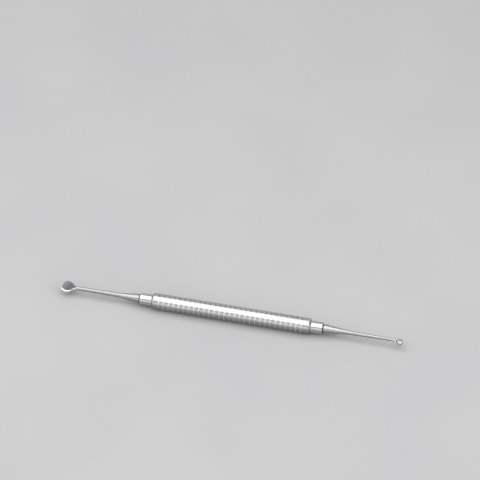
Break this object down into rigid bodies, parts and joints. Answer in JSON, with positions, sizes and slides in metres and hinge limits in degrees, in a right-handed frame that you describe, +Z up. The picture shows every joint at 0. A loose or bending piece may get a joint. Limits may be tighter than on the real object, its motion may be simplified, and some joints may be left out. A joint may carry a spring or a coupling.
{
  "type": "mouth mirror",
  "caption": "Slim double-ended dental instrument: small round front-surface mirror and a spoon tip, each screwed into a hollow steel handle with ring grooves.",
  "frame": {"origin": "on the surface that the handle lies on, midway along the instrument's length, straight below the handle's axis", "axes": "+X along the handle towards the spoon end, the mirror end is at -X; +Z up, the way the mirror looks; +Y to the far side"},
  "size_m": [0.1712, 0.0078, 0.0079],
  "materials": {
    "handle_steel": "satin stainless steel with ring grooves",
    "collar_steel": "fine turned and polished stainless steel",
    "shank_steel": "polished stainless steel",
    "cup_steel": "polished stainless steel, thin pressed cup",
    "braze": "pale silver braze",
    "cement": "dark bonding cement",
    "glass": "clear glass",
    "mirror_face": "front-surface metal coating",
    "seal_rubber": "dark heat-proof seal"
  },
  "bodies": {
    "handle": {"handle_tube": "handle_steel", "mirror_collar": "collar_steel", "spoon_collar": "collar_steel"},
    "mirror_seal": {"mirror_seal_ring": "seal_rubber"},
    "mirror_end": {"mirror_stem": "shank_steel", "braze_bead": "braze", "mirror_cup": "cup_steel", "glass_cement": "cement", "mirror_glass": "glass", "mirror_coating": "mirror_face"},
    "spoon_seal": {"spoon_seal_ring": "seal_rubber"},
    "spoon_end": {"spoon_tip": "shank_steel"}
  },
  "joints": [
    {"name": "mirror_advance", "type": "slide", "parent": "handle", "child": "mirror_seal", "axis": [-1, 0, 0], "range_m": [0, 0.0063]},
    {"name": "mirror_unscrew", "type": "hinge", "parent": "mirror_seal", "child": "mirror_end", "pos_m": [-0.04581, 0, 0.00395], "axis": [-1, 0, 0], "range_deg": [0, 5040]},
    {"name": "spoon_advance", "type": "slide", "parent": "handle", "child": "spoon_seal", "axis": [1, 0, 0], "range_m": [0, 0.0063]},
    {"name": "spoon_unscrew", "type": "hinge", "parent": "spoon_seal", "child": "spoon_end", "pos_m": [0.04604, 0, 0.00395], "axis": [1, 0, 0], "range_deg": [0, 5040]}
  ],
  "couplings": [
    {"joint": "mirror_unscrew", "follows": "mirror_advance", "rad_per_m": 13963},
    {"joint": "spoon_unscrew", "follows": "spoon_advance", "rad_per_m": 13963}
  ]
}
